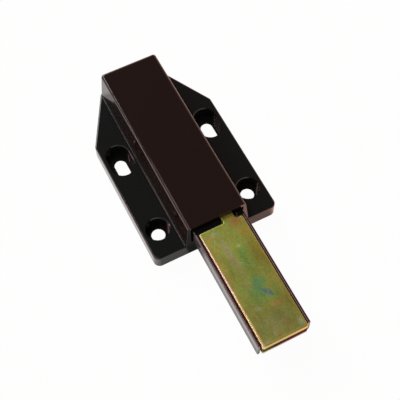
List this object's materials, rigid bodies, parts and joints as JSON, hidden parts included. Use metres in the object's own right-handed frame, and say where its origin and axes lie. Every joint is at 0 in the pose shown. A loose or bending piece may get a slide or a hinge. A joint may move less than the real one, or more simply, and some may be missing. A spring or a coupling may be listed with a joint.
{
  "type": "push to open catch",
  "caption": "Magnetic push to open catch: flanged plastic case with a sprung plunger that carries a magnet between two steel plates at its tip.",
  "frame": {"origin": "on the mounting face, midway between the two front screw holes", "axes": "+Z away from the mounting face, +Y to the rear of the case, so the plunger points along -Y; X across the flange"},
  "size_m": [0.05, 0.1248, 0.0178],
  "materials": {
    "case_plastic": "gloss",
    "cover_plastic": "satin",
    "plunger_plastic": "gloss",
    "plated_steel": "satin",
    "ferrite": "matte",
    "spring_steel": "satin",
    "screw_steel": "satin"
  },
  "bodies": {
    "case": {"housing": "case_plastic", "back_cover": "cover_plastic", "cover_screw_middle_left": "screw_steel", "cover_screw_middle_right": "screw_steel", "cover_screw_rear_left": "screw_steel", "cover_screw_rear_right": "screw_steel", "return_spring": "spring_steel"},
    "plunger": {"plunger": "plunger_plastic", "upper_pole_plate": "plated_steel", "magnet": "ferrite", "lower_pole_plate": "plated_steel", "follower_spring": "spring_steel"},
    "follower": {"cam_follower": "spring_steel"}
  },
  "joints": [
    {"name": "plunger_slide", "type": "slide", "parent": "case", "child": "plunger", "axis": [0, 1, 0], "range_m": [0, 0.037], "stiffness_N_per_m": 60, "springref_m": -0.03, "deforming": ["return_spring"]},
    {"name": "follower_swing", "type": "hinge", "parent": "plunger", "child": "follower", "pos_m": [0, 0.0006, 0.0085], "axis": [0, 0, 1], "range_deg": [0, 14]}
  ],
  "couplings": [
    {"joint": "follower_swing", "follows": "plunger_slide", "rad_per_m": 6.6}
  ]
}
